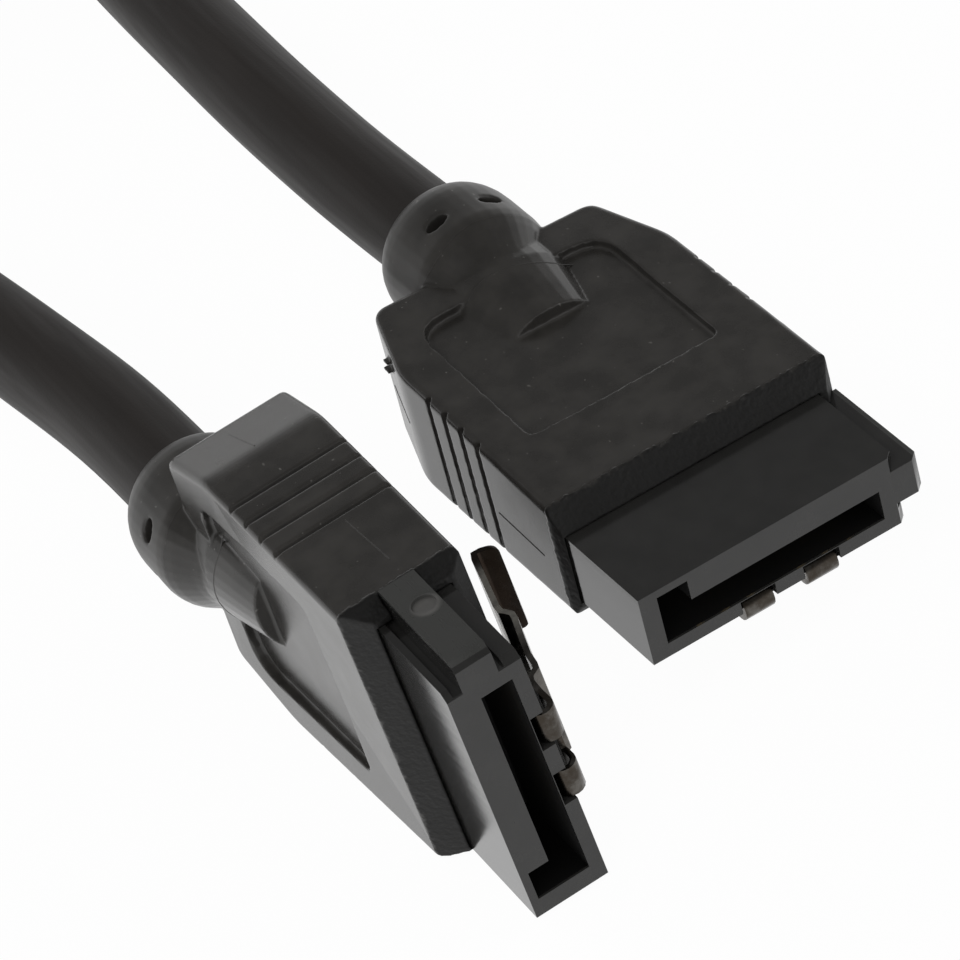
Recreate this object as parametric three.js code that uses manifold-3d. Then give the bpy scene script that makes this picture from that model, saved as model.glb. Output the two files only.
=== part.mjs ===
// Serial data cable with two latching seven-contact plugs on one round cord.
// Millimetres, +Z up, the origin on the floor under the middle of the two plugs.
// Each plug is built in its own frame: +X is the way it is pushed in, Y its width with the key
// on the +Y side, Z its thickness with the latch spring on the -Z side, origin in the mating face.
import * as THREE from 'three';
import { mergeVertices } from 'three/addons/utils/BufferGeometryUtils.js';
import Module from 'manifold-3d';

const wasm = await Module();
wasm.setup();

// Driving dimensions

const FIT = 0.06; // clearance between small moulded and stamped pieces
const CORD_GAP = 0.3; // gap kept where the cord meets another solid

// Connector housing
const HOUSING_WIDTH = 12.8;
const HOUSING_THICKNESS = 3.5;
const HOUSING_EXPOSED = 5.6; // length standing out of the overmould
const HOUSING_BURIED = 6.4; // length held inside the overmould
const KEY_HEIGHT = 1.15;
const KEY_Z = [-0.7, 1.0];
const KEY_CHAMFER = 0.4;
const KEY_BURIED = 0.7; // how far the key runs on inside the overmould
const RAIL_CHANNEL_DEPTH = 0.3;
const RAIL_CHANNEL_WIDTH = 0.42;
const THIN_CHANNEL_WIDTH = 0.3;
const RAIL_CHAMFER = 0.45;
const DIMPLE_DIAMETER = 1.1;
const DIMPLE_DEPTH = 0.15;
const DIMPLE_FROM_FACE = 4.15;

// Slot that the mating blade enters, an L seen from the front
const SLOT_LENGTH = 10.9;
const SLOT_START_Y = -5.55;
const SLOT_Z = [-1.1, 0.38];
const SLOT_LEG_WIDTH = 1.5;
const SLOT_LEG_TOP = 1.38;
const SLOT_DEPTH = 5.2;

// Contacts
const CONTACT_COUNT = 7;
const CONTACT_PITCH = 1.27;
const CONTACT_WIDTH = 0.45;
const CONTACT_THICKNESS = 0.18;
const CONTACT_MIDDLE_Y = 0.65;
const CONTACT_BEAM_Z = 0.78;
const CONTACT_DIP = 0.62; // how far the contact point stands towards the blade
const CONTACT_TIP_X = -1.7;
const CONTACT_POINT_X = -2.6; // where the contact touches the blade
const CONTACT_BOW_START_X = -3.6;
const CONTACT_TAIL = 1.9; // length standing out behind the housing
const CONTACT_GROOVE_START = 1.1; // wall left between the mating face and the grooves

// Overmould
const BODY_KEY_SIDE = 7.45;
const BODY_PLAIN_SIDE = 6.65;
const BODY_REAR_KEY_SIDE = 7.3;
const BODY_REAR_PLAIN_SIDE = 6.65;
const BODY_TOP = 3.0;
const BODY_BOTTOM = -2.7;
const TEXT_RISE_PLAIN = 0.8; // how much the text face rises from the nose to the back on the plain side
const TEXT_RISE_KEY = 0.2;
const BODY_EDGE = 0.3; // rounding of the long edges
const SHOULDER_ROUNDING = 0.7;
const BACK_ROUNDING = 0.65;
const SHOULDER_X = -18.35;
const BACK_X = -22.7;
const BACK_KEY_SIDE = 5.95;
const BACK_PLAIN_SIDE = 5.3;
const NOSE_TOP = [0.85, 0.14]; // how far back the bevel starts, and the rim it leaves
const NOSE_BOTTOM = [0.55, 0.3];
const NOSE_KEY_SIDE = [0.8, 0.4];
const NOSE_PLAIN_SIDE = [0.55, 0.1];
const POCKET_X = [-20.4, -10.8];
const POCKET_Y = [-4.6, 5.0];
const POCKET_DEPTH = 0.45;
const POCKET_CORNER = 1.6;
const POCKET_FRONT_CORNER = 0.5;
const GRIP_COUNT = 4;
const GRIP_PITCH = 1.33;
const GRIP_FIRST_X = -11.9;
const GRIP_DEPTH = 0.22;
const GRIP_WIDTH = 0.3;

// Neck, the strain relief round the cord
const NECK_Y = 0.29;
const NECK_Z = 1.91;
const NECK_RADIUS = 3.45;
const NECK_END_X = -26.9;
const NECK_END_RADIUS = 2.65;
const NECK_END_TAPER = 1.8; // length over which the neck swells from its end
const CONE_START_X = -23.1;
const CONE_END_X = -20.6;
const BULGE_REAR_RADIUS = 2.25;
const BULGE_FRONT_RADIUS = 1.7;
const BULGE_SPREAD = 1.39; // how much wider than high the bulge is
const BULGE_END_X = -17.1;
const PIN_HOLE_SHARE = 1 / 3; // how far along the neck the holes lie, from the body
const PIN_HOLE_ANGLES = [60, 108, -60, -108];
const PIN_HOLE_LENGTH = 1.15; // round the neck
const PIN_HOLE_WIDTH = 0.68; // along the neck

// Wires and the inner mould that holds them
const INNER_X = [-21.3, -16.4];
const INNER_Y = [-4.9, 5.3];
const INNER_Z = [-1.3, 1.85];
const INNER_REAR_Y = [-2.9, 3.4];
const INNER_SHOULDER = 1.6;
const CHAMBER_WALL = 0.12; // room round the inner mould
const SIGNAL_WIRE_DIAMETER = 1.0;
const DRAIN_WIRE_DIAMETER = 0.5;
const WIRE_SEAT = 0.08; // gap between a wire end and the contact tail under it
const DRAIN_PLACES = [0, 3, 6];

// Latch spring, one folded strip of sheet
const SHEET = 0.26;
const LATCH_Y = [-1.81, 2.85];
const FLANGE_END_Z = -5.4;
const FLANGE_CORNER = 0.42;
const LATCH_FOLDS = [[-1.81, -0.36], [1.32, 2.85]];
const FOLD_CENTRE = [-0.6, -1.87];
const FOLD_RADIUS = 0.46; // at the middle of the sheet
const FOLD_TAIL = 0.55; // what lies in the housing's window behind the fold
const WINDOW_DEPTH = 1.5;
const WINDOW_PLAY = 0.14;

// The lever's middle line as [x, z] points, from the folds back over the hump to the end flange
const LEVER_LINE = [
  [-1.2, -2.3], [-2.1, -2.35], [-2.38, -2.48], [-2.62, -2.88], [-2.9, -2.97], [-3.6, -3.06],
  [-4.8, -3.4], [-5.9, -3.73], [-6.2, -3.78], [-6.45, -3.66], [-6.7, -3.5], [-7.1, -3.52],
  [-9.0, -3.98], [-10.3, -4.28], [-10.62, -4.42], [-10.6, -4.72], [-10.3, FLANGE_END_Z],
];
const FOLD_OUTER_END = [-1.35, -2.31]; // where each fold's outer leg runs into the lever

// Cord
const CORD_DIAMETER = 4.6;
const CORD_SIDES = 12;
const BORE_PLAY = 0.1;
const CORD_END_X = -21.6; // where the jacket ends inside the neck
const HANK_LIFT = 0.72; // the tie under the hank lifts it off the floor
const HANK_MIDDLE_Y = -3.1;
const HANK_FOLD_RADIUS = 13.9;
const HANK_NEAR_X = -78.5;
const HANK_RUN = 46;
const HANK_LAYERS = 2;
const TIE_WIDTH = 8;
const TIE_THICKNESS = 0.4;

// Where the two plugs lie
const PLUG_A = { at: [11.133, 6.152, 5.65], turn: [-5.3, 0.6, 2.4] };
const PLUG_B = { at: [15.833, -8.448, 6.65], turn: [90, 0, 0] };

// The cord's routes outside the hank, chosen by hand, from each neck to the hank
const CORD_A_ROUTE = [
  [-10.47, 5.71, 7.66], [-15.75, 5.48, 7.75], [-23.47, 5.12, 7.53], [-31.47, 5.0, 7.36],
  [-39.47, 5.2, 6.98], [-45.47, 5.5, 6.34], [-51.47, 6.05, 5.34], [-57.47, 7.0, 4.34],
  [-61.47, 8.05, 3.59], [-64.97, 9.25, 3.19],
];
const CORD_B_ROUTE = [
  [-5.77, -10.36, 6.94], [-11.07, -10.34, 6.94], [-18.47, -10.53, 6.74], [-26.47, -11.3, 6.39],
  [-34.47, -12.2, 5.99], [-42.47, -13.05, 5.79], [-49.47, -13.8, 5.89], [-55.47, -14.5, 6.19],
  [-60.47, -15.15, 6.69], [-64.97, -15.75, 7.19],
];

// Values worked out from the driving dimensions

const halfWidth = HOUSING_WIDTH / 2;
const halfThickness = HOUSING_THICKNESS / 2;
const noseX = -HOUSING_EXPOSED;
const housingBackX = noseX - HOUSING_BURIED;
const slotEndY = SLOT_START_Y + SLOT_LENGTH;
const cordRadius = CORD_DIAMETER / 2;
const boreRadius = cordRadius + BORE_PLAY;
const contactPlaces = Array.from(
  { length: CONTACT_COUNT },
  (_, i) => CONTACT_MIDDLE_Y + (i - (CONTACT_COUNT - 1) / 2) * CONTACT_PITCH,
);

// Materials

const overmouldBlack = new THREE.MeshStandardMaterial({ color: 0x2b2a28, roughness: 0.62, metalness: 0 });
const housingBlack = new THREE.MeshStandardMaterial({ color: 0x201f1e, roughness: 0.3, metalness: 0 });
const springSteel = new THREE.MeshStandardMaterial({ color: 0x3a3631, roughness: 0.3, metalness: 0.9 });
const goldPlate = new THREE.MeshStandardMaterial({ color: 0xc9a24c, roughness: 0.25, metalness: 1 });
const innerPlastic = new THREE.MeshStandardMaterial({ color: 0xd8d4c8, roughness: 0.6, metalness: 0 });
const wireBlue = new THREE.MeshStandardMaterial({ color: 0x4d6f9e, roughness: 0.5, metalness: 0 });
const tinnedCopper = new THREE.MeshStandardMaterial({ color: 0xb9b4aa, roughness: 0.35, metalness: 1 });
const cordBlack = new THREE.MeshStandardMaterial({ color: 0x292523, roughness: 0.5, metalness: 0 });
const tieBlack = new THREE.MeshStandardMaterial({ color: 0x191919, roughness: 0.9, metalness: 0 });

// Solids and how they join

function solid(geometry) {
  geometry.deleteAttribute('normal');
  geometry.deleteAttribute('uv');
  const merged = mergeVertices(geometry, 1e-5);
  return new wasm.Manifold(new wasm.Mesh({
    numProp: 3,
    vertProperties: new Float32Array(merged.attributes.position.array),
    triVerts: new Uint32Array(merged.index.array),
  }));
}

function geometryOf(body) {
  const mesh = body.getMesh();
  const geometry = new THREE.BufferGeometry();
  geometry.setAttribute('position', new THREE.BufferAttribute(new Float32Array(mesh.vertProperties), 3));
  geometry.setIndex(new THREE.BufferAttribute(new Uint32Array(mesh.triVerts), 1));
  geometry.computeVertexNormals();
  return geometry;
}

function cutAll(body, cutters) {
  return cutters.reduce((rest, cutter) => rest.subtract(cutter), body);
}

function joinAll(bodies) {
  return bodies.reduce((sum, body) => sum.add(body));
}

function block([x0, x1], [y0, y1], [z0, z1]) {
  const geometry = new THREE.BoxGeometry(x1 - x0, y1 - y0, z1 - z0);
  geometry.translate((x0 + x1) / 2, (y0 + y1) / 2, (z0 + z1) / 2);
  return solid(geometry);
}

function shapeOf(points) {
  return new THREE.Shape(points.map(([u, v]) => new THREE.Vector2(u, v)));
}

// A closed outline whose corners are rounded, each given as [u, v, radius].
function roundedShape(corners) {
  const shape = new THREE.Shape();
  corners.forEach(([u, v, radius], i) => {
    const here = new THREE.Vector2(u, v);
    const before = new THREE.Vector2(...corners.at(i - 1));
    const after = new THREE.Vector2(...corners[(i + 1) % corners.length]);
    const start = here.clone().add(before.sub(here).setLength(radius));
    const end = here.clone().add(after.sub(here).setLength(radius));
    if (i === 0) shape.moveTo(start.x, start.y);
    else shape.lineTo(start.x, start.y);
    if (radius > 0) shape.quadraticCurveTo(u, v, end.x, end.y);
  });
  shape.closePath();
  return shape;
}

// An XY outline standing from z0 to z1, its edges rounded where asked.
function plateGeometry(shape, [z0, z1], edge = 0) {
  const geometry = new THREE.ExtrudeGeometry(shape, {
    depth: z1 - z0 - 2 * edge,
    bevelEnabled: edge > 0,
    bevelThickness: edge,
    bevelSize: edge,
    bevelOffset: -edge,
    bevelSegments: 3,
    curveSegments: 5,
  });
  geometry.translate(0, 0, z0 + edge);
  return geometry;
}

function plate(shape, heights, edge = 0) {
  return solid(plateGeometry(shape, heights, edge));
}

// The same geometry with each point at the height that heightAt gives for it.
function lifted(geometry, heightAt) {
  const points = geometry.attributes.position;
  for (let i = 0; i < points.count; i += 1) {
    points.setZ(i, heightAt(points.getX(i), points.getY(i), points.getZ(i)));
  }
  return geometry;
}

// An XZ outline given as [x, z] points, running along Y.
function strip(points, [y0, y1]) {
  const geometry = new THREE.ExtrudeGeometry(shapeOf(points), { depth: y1 - y0, bevelEnabled: false });
  geometry.rotateX(Math.PI / 2);
  geometry.translate(0, y1, 0);
  return solid(geometry);
}

// A YZ outline running along X.
function alongX(shape, [x0, x1]) {
  const settings = { depth: x1 - x0, bevelEnabled: false, curveSegments: 6 };
  const geometry = new THREE.ExtrudeGeometry(shape, settings);
  geometry.applyMatrix4(new THREE.Matrix4().makeBasis(
    new THREE.Vector3(0, 1, 0), new THREE.Vector3(0, 0, 1), new THREE.Vector3(1, 0, 0),
  ));
  geometry.translate(x0, 0, 0);
  return solid(geometry);
}

// A profile of [radius, x] points turned about the neck's axis, made wider than high where asked.
function turned(profile, segments, spread = 1) {
  const points = profile.map(([radius, x]) => new THREE.Vector2(radius, x));
  const geometry = new THREE.LatheGeometry(points, segments);
  geometry.rotateZ(-Math.PI / 2);
  geometry.scale(1, spread, 1);
  geometry.translate(0, NECK_Y, NECK_Z);
  return solid(geometry);
}

// A bent sheet: the middle line is given as [x, z] points and half the sheet goes to each side.
function sheetOutline(middle, thickness) {
  const points = middle.map(([x, z]) => new THREE.Vector2(x, z));
  const left = [];
  const right = [];
  points.forEach((point, i) => {
    const before = points[Math.max(i - 1, 0)];
    const after = points[Math.min(i + 1, points.length - 1)];
    const into = point.clone().sub(before).normalize();
    const out = after.clone().sub(point).normalize();
    const along = into.clone().add(out).normalize();
    const across = new THREE.Vector2(-along.y, along.x);
    const turn = into.length() > 0 && out.length() > 0 ? into.dot(along) : 1;
    const reach = thickness / 2 / Math.max(turn, 0.5);
    left.push(point.clone().addScaledVector(across, reach).toArray());
    right.unshift(point.clone().addScaledVector(across, -reach).toArray());
  });
  return [...left, ...right];
}

// Connector housing

// The key runs along the middle of the +Y side, with a chamfer at its front end.
function keyBoss() {
  const top = halfWidth + KEY_HEIGHT;
  const outline = shapeOf([
    [noseX - KEY_BURIED, halfWidth - 0.2],
    [0, halfWidth - 0.2],
    [0, top - KEY_CHAMFER],
    [-KEY_CHAMFER, top],
    [noseX - KEY_BURIED, top],
  ]);
  return plate(outline, KEY_Z);
}

function keyDimple() {
  const height = 2 * DIMPLE_DEPTH;
  const geometry = new THREE.CylinderGeometry(DIMPLE_DIAMETER / 2, DIMPLE_DIAMETER / 2, height, 20);
  geometry.translate(-DIMPLE_FROM_FACE, halfWidth + KEY_HEIGHT, (KEY_Z[0] + KEY_Z[1]) / 2 - 0.15);
  return solid(geometry);
}

// Channels beside the key leave a low rail along each edge of the +Y side.
function railChannels() {
  const y = [halfWidth - RAIL_CHANNEL_DEPTH, halfWidth + 1];
  const x = [noseX - KEY_BURIED, 1];
  return [
    block(x, y, [KEY_Z[1], KEY_Z[1] + RAIL_CHANNEL_WIDTH]),
    block(x, y, [KEY_Z[0] - THIN_CHANNEL_WIDTH, KEY_Z[0]]),
  ];
}

// The front ends of the two rails slope back.
function railChamfers() {
  const beyond = 0.1;
  const outline = shapeOf([
    [beyond, halfWidth - RAIL_CHAMFER],
    [beyond, halfWidth + beyond],
    [-RAIL_CHAMFER, halfWidth + beyond],
  ]);
  return [
    plate(outline, [KEY_Z[1], halfThickness + 1]),
    plate(outline, [-halfThickness - 1, KEY_Z[0]]),
  ];
}

function bladeSlot() {
  const x = [-SLOT_DEPTH, 1];
  return [
    block(x, [SLOT_START_Y, slotEndY], SLOT_Z),
    block(x, [SLOT_START_Y, SLOT_START_Y + SLOT_LEG_WIDTH], [SLOT_Z[0], SLOT_LEG_TOP]),
  ];
}

// Each contact lies in a groove in the wall above the slot, open to the slot and to the rear.
function contactGroove(y) {
  const half = CONTACT_WIDTH / 2 + FIT;
  const top = CONTACT_BEAM_Z + CONTACT_THICKNESS / 2 + FIT;
  const seat = CONTACT_BEAM_Z - CONTACT_THICKNESS / 2 - FIT;
  return block([-SLOT_DEPTH, -CONTACT_GROOVE_START], [y - half, y + half], [0, top])
    .add(block([housingBackX - 1, -SLOT_DEPTH + 0.1], [y - half, y + half], [seat, top]));
}

// The folds of the latch spring hook into two windows at the edge of the mating face.
function latchWindow([y0, y1]) {
  const z = FOLD_CENTRE[1] + FOLD_RADIUS;
  const half = SHEET / 2 + WINDOW_PLAY;
  const y = [y0 - WINDOW_PLAY, y1 + WINDOW_PLAY];
  const cheek = strip([
    [1, z + half],
    [-WINDOW_DEPTH, z + half],
    [-WINDOW_DEPTH, z - half],
    [-0.75, z - half],
    [-0.75, -halfThickness - 1],
    [1, -halfThickness - 1],
  ], y);
  const lip = block([-0.3, 1], y, [-halfThickness - 1, z - half - 0.01]);
  return cheek.subtract(block([-0.74, -0.3], y, [-halfThickness - 2, z - half])).add(lip);
}

function makeHousing() {
  const shell = block([housingBackX, 0], [-halfWidth, halfWidth], [-halfThickness, halfThickness]);
  return cutAll(shell.subtract(joinAll(railChannels())).subtract(joinAll(railChamfers())).add(keyBoss()), [
    keyDimple(),
    ...bladeSlot(),
    ...contactPlaces.map(contactGroove),
    ...LATCH_FOLDS.map(latchWindow),
  ]);
}

// Contacts

// A flat tail, a straight beam and a bowed tip whose lowest point touches the blade.
function makeContact(y) {
  const low = CONTACT_BEAM_Z - CONTACT_DIP;
  const middle = [
    [housingBackX - CONTACT_TAIL, CONTACT_BEAM_Z],
    [-SLOT_DEPTH, CONTACT_BEAM_Z],
    [CONTACT_BOW_START_X, low + 0.22],
    [CONTACT_POINT_X - 0.4, low + 0.04],
    [CONTACT_POINT_X, low],
    [CONTACT_POINT_X + 0.4, low + 0.06],
    [CONTACT_TIP_X, low + 0.36],
  ];
  const half = CONTACT_WIDTH / 2;
  return strip(sheetOutline(middle, CONTACT_THICKNESS), [y - half, y + half]);
}

// Wires

// Bare drain wires go to the ground contacts, insulated wires to the signal contacts.
function makeWire(y, place) {
  const diameter = DRAIN_PLACES.includes(place) ? DRAIN_WIRE_DIAMETER : SIGNAL_WIRE_DIAMETER;
  const start = INNER_X[1] + FIT;
  const end = housingBackX - 0.35;
  const geometry = new THREE.CylinderGeometry(diameter / 2, diameter / 2, end - start, 12);
  geometry.rotateZ(Math.PI / 2);
  const top = CONTACT_BEAM_Z - CONTACT_THICKNESS / 2 - WIRE_SEAT;
  geometry.translate((start + end) / 2, y, top - diameter / 2);
  return solid(geometry);
}

function makeInnerMould() {
  const [x0, x1] = INNER_X;
  const [y0, y1] = INNER_Y;
  const outline = roundedShape([
    [x1, y0, 0.3], [x1, y1, 0.3], [x0 + INNER_SHOULDER, y1, 0.5],
    [x0, INNER_REAR_Y[1], 0.5], [x0, INNER_REAR_Y[0], 0.5], [x0 + INNER_SHOULDER, y0, 0.5],
  ]);
  return plate(outline, INNER_Z);
}

// Overmould

// The text face rises towards the back, more on the plain side than on the key's side.
function textRise(x, y) {
  const along = THREE.MathUtils.clamp((x - noseX) / (BACK_X - noseX), 0, 1);
  const across = THREE.MathUtils.clamp((y + BODY_PLAIN_SIDE) / (BODY_KEY_SIDE + BODY_PLAIN_SIDE), 0, 1);
  return along * THREE.MathUtils.lerp(TEXT_RISE_PLAIN, TEXT_RISE_KEY, across);
}

function bodyBlock() {
  const outline = roundedShape([
    [noseX, -BODY_PLAIN_SIDE, 0],
    [noseX, BODY_KEY_SIDE, 0],
    [SHOULDER_X, BODY_REAR_KEY_SIDE, SHOULDER_ROUNDING],
    [BACK_X, BACK_KEY_SIDE, BACK_ROUNDING],
    [BACK_X, -BACK_PLAIN_SIDE, BACK_ROUNDING],
    [SHOULDER_X, -BODY_REAR_PLAIN_SIDE, SHOULDER_ROUNDING],
  ]);
  const flat = plateGeometry(outline, [BODY_BOTTOM, BODY_TOP], BODY_EDGE);
  return solid(lifted(flat, (x, y, z) => (z > 0 ? z + textRise(x, y) : z)));
}

// The front of the overmould slopes down to the housing on all four sides.
function noseBevels() {
  const wide = [-BODY_KEY_SIDE - 2, BODY_KEY_SIDE + 2];
  const tall = [BODY_BOTTOM - 2, BODY_TOP + 2];
  const bevel = ([back, rim], outer, inner) => {
    const sign = Math.sign(outer);
    const low = inner + sign * rim;
    const slope = (outer - low) / back;
    return [
      [noseX + 1, low - slope],
      [noseX - back - 1, outer + slope],
      [noseX + 1, outer + slope],
    ];
  };
  const side = (points) => plate(shapeOf(points), tall);
  return [
    strip(bevel(NOSE_TOP, BODY_TOP, halfThickness), wide),
    strip(bevel(NOSE_BOTTOM, BODY_BOTTOM, -halfThickness), wide),
    side(bevel(NOSE_KEY_SIDE, BODY_KEY_SIDE, halfWidth)),
    side(bevel(NOSE_PLAIN_SIDE, -BODY_PLAIN_SIDE, -halfWidth)),
  ];
}

// The recess's flat floor follows the rise and the tilt of the text face round it.
function pocketFloor(x, y) {
  const [x0, x1] = POCKET_X;
  const [y0, y1] = POCKET_Y;
  const front = (textRise(x1, y0) + textRise(x1, y1)) / 2;
  const rear = (textRise(x0, y0) + textRise(x0, y1)) / 2;
  const keySide = (textRise(x0, y1) + textRise(x1, y1)) / 2;
  const plainSide = (textRise(x0, y0) + textRise(x1, y0)) / 2;
  const rise = THREE.MathUtils.mapLinear(x, x1, x0, front, rear);
  const tilt = ((keySide - plainSide) / (y1 - y0)) * (y - (y0 + y1) / 2);
  return BODY_TOP - POCKET_DEPTH + rise + tilt;
}

function facePocket() {
  const [x0, x1] = POCKET_X;
  const [y0, y1] = POCKET_Y;
  const outline = roundedShape([
    [x1, y0, POCKET_FRONT_CORNER], [x1, y1, POCKET_FRONT_CORNER],
    [x0, y1, POCKET_CORNER], [x0, y0, POCKET_CORNER],
  ]);
  const upright = plateGeometry(outline, [0, BODY_TOP + TEXT_RISE_PLAIN + 1]);
  return solid(lifted(upright, (x, y, z) => (z > 0 ? z : pocketFloor(x, y))));
}

// The round neck swells from its end and narrows over the body into a low bulge on the text face.
function neckAndBulge() {
  const profile = [[0, NECK_END_X]];
  const taper = Math.min(NECK_END_TAPER, 0.6 * (CONE_START_X - NECK_END_X));
  const steps = 6;
  for (let i = 0; i <= steps; i += 1) {
    const angle = (i / steps) * (Math.PI / 2);
    const radius = THREE.MathUtils.lerp(NECK_END_RADIUS, NECK_RADIUS, Math.sin(angle));
    profile.push([radius, NECK_END_X + taper * (1 - Math.cos(angle))]);
  }
  for (let i = 0; i <= steps; i += 1) {
    const narrowing = THREE.MathUtils.smoothstep(i, 0, steps);
    const radius = THREE.MathUtils.lerp(NECK_RADIUS, BULGE_REAR_RADIUS, narrowing);
    profile.push([radius, THREE.MathUtils.lerp(CONE_START_X, CONE_END_X, i / steps)]);
  }
  profile.push([0, CONE_END_X]);
  const bulge = [
    [0, BACK_X],
    [BULGE_REAR_RADIUS, BACK_X],
    [BULGE_REAR_RADIUS, CONE_END_X],
    [BULGE_FRONT_RADIUS, BULGE_END_X],
    [0, BULGE_END_X],
  ];
  return turned(profile, 40).add(turned(bulge, 32, BULGE_SPREAD));
}

function gripGrooves() {
  const grooves = [];
  for (let i = 0; i < GRIP_COUNT; i += 1) {
    const x = GRIP_FIRST_X - i * GRIP_PITCH;
    const share = (x - noseX) / (SHOULDER_X - noseX);
    const sides = [
      THREE.MathUtils.lerp(BODY_KEY_SIDE, BODY_REAR_KEY_SIDE, share),
      -THREE.MathUtils.lerp(BODY_PLAIN_SIDE, BODY_REAR_PLAIN_SIDE, share),
    ];
    for (const y of sides) {
      const floor = y - Math.sign(y) * GRIP_DEPTH;
      const outer = y + Math.sign(y) * 0.5;
      const half = GRIP_WIDTH / 2;
      const corners = [[x - half, outer], [x - half, y], [x - half / 2, floor], [x + half / 2, floor]];
      corners.push([x + half, y], [x + half, outer]);
      const ordered = y > 0 ? corners : corners.reverse();
      grooves.push(plate(shapeOf(ordered), [BODY_BOTTOM - 1, BODY_TOP + 1]));
    }
  }
  return grooves;
}

// Small slots round the neck, where pins centred the cord in the mould.
function pinHoles() {
  return PIN_HOLE_ANGLES.map((angle) => {
    const geometry = new THREE.CylinderGeometry(1, 1, 2, 14);
    geometry.scale(PIN_HOLE_WIDTH / 2, 1, PIN_HOLE_LENGTH / 2);
    geometry.translate(0, boreRadius + 0.9, 0);
    geometry.rotateX(THREE.MathUtils.degToRad(angle));
    geometry.translate(THREE.MathUtils.lerp(BACK_X, NECK_END_X, PIN_HOLE_SHARE), NECK_Y, NECK_Z);
    return solid(geometry);
  });
}

// The seat of the housing, the chamber behind it and the bore for the cord.
function overmouldHollow() {
  const grow = ([a, b], by) => [a - by, b + by];
  const seat = block(
    [housingBackX - FIT, noseX + 2],
    [-halfWidth - FIT, halfWidth + FIT],
    [-halfThickness - FIT, halfThickness + FIT],
  );
  const keySeat = block(
    [noseX - KEY_BURIED - FIT, noseX + 2],
    [halfWidth - 1, halfWidth + KEY_HEIGHT + FIT],
    grow(KEY_Z, FIT),
  );
  const chamber = block(
    [CORD_END_X + 0.05, housingBackX + 0.1],
    grow(INNER_Y, CHAMBER_WALL),
    grow(INNER_Z, CHAMBER_WALL),
  );
  const bore = turned([
    [0, NECK_END_X - 1], [boreRadius, NECK_END_X - 1], [boreRadius, CORD_END_X + 0.2], [0, CORD_END_X + 0.2],
  ], 32);
  return [seat, keySeat, chamber, bore];
}

function makeOvermould() {
  const body = bodyBlock().subtract(facePocket());
  return cutAll(body.add(neckAndBulge()), [
    ...noseBevels(),
    ...gripGrooves(),
    ...pinHoles(),
    ...overmouldHollow(),
  ]);
}

// Latch spring

// The middle line of the sheet, from its end in the window, round the fold and back to the lever.
function latchMiddleLine() {
  const [foldX, foldZ] = FOLD_CENTRE;
  const fold = [];
  for (let i = 0; i <= 8; i += 1) {
    const angle = Math.PI / 2 - (i / 8) * Math.PI;
    fold.push([foldX + FOLD_RADIUS * Math.cos(angle), foldZ + FOLD_RADIUS * Math.sin(angle)]);
  }
  return {
    folds: [[foldX - FOLD_TAIL, foldZ + FOLD_RADIUS], ...fold, FOLD_OUTER_END],
    lever: LEVER_LINE,
  };
}

function makeLatch() {
  const { folds, lever } = latchMiddleLine();
  const width = [...LATCH_Y];
  const hooks = LATCH_FOLDS.map((y) => strip(sheetOutline(folds, SHEET), y));
  const blank = strip(sheetOutline(lever, SHEET), width);
  return joinAll([blank, ...hooks]).intersect(leverCorners());
}

// All of the spring lies in this, which rounds the corners of the lever's free end.
function leverCorners() {
  const [y0, y1] = LATCH_Y;
  const low = FLANGE_END_Z;
  const outline = roundedShape([[y0, 0, 0], [y0, low, FLANGE_CORNER], [y1, low, FLANGE_CORNER], [y1, 0, 0]]);
  return alongX(outline, [LEVER_LINE.at(-1)[0] - 1, 1]);
}

// One plug

function namedMesh(name, body, material) {
  const mesh = new THREE.Mesh(geometryOf(body), material);
  mesh.name = name;
  return mesh;
}

function makePlug(letter, { at, turn }) {
  const plug = new THREE.Group();
  plug.add(namedMesh(`overmould_${letter}`, makeOvermould(), overmouldBlack));
  plug.add(namedMesh(`connector_housing_${letter}`, makeHousing(), housingBlack));
  plug.add(namedMesh(`latch_spring_${letter}`, makeLatch(), springSteel));
  plug.add(namedMesh(`inner_mould_${letter}`, makeInnerMould(), innerPlastic));
  contactPlaces.forEach((y, place) => {
    const drain = DRAIN_PLACES.includes(place);
    const wireName = `${drain ? 'drain' : 'signal'}_wire_${place + 1}_${letter}`;
    plug.add(namedMesh(`contact_${place + 1}_${letter}`, makeContact(y), goldPlate));
    plug.add(namedMesh(wireName, makeWire(y, place), drain ? tinnedCopper : wireBlue));
  });
  plug.position.set(...at);
  plug.rotation.set(...turn.map(THREE.MathUtils.degToRad), 'ZYX');
  return plug;
}

// Cord

function makeCordTube(route) {
  const curve = new THREE.CatmullRomCurve3(route.map((point) => new THREE.Vector3(...point)));
  const section = new THREE.Shape();
  for (let i = 0; i < CORD_SIDES; i += 1) {
    const angle = (i / CORD_SIDES) * 2 * Math.PI;
    const corner = [cordRadius * Math.cos(angle), cordRadius * Math.sin(angle)];
    if (i === 0) section.moveTo(...corner);
    else section.lineTo(...corner);
  }
  section.closePath();
  return solid(new THREE.ExtrudeGeometry(section, {
    steps: Math.round(curve.getLength() / (1.5 * CORD_DIAMETER)),
    bevelEnabled: false,
    extrudePath: curve,
  }));
}

// A stadium outline in a plane: half circles of one radius at each end of a straight run.
function stadium(middleU, middleV, run, radius, steps) {
  const points = [];
  for (const side of [1, -1]) {
    for (let i = 0; i <= steps; i += 1) {
      const angle = -Math.PI / 2 + (i / steps) * Math.PI;
      points.push([
        middleU + side * (run / 2 + radius * Math.cos(angle)),
        middleV + side * radius * Math.sin(angle),
      ]);
    }
  }
  return points;
}

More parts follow.
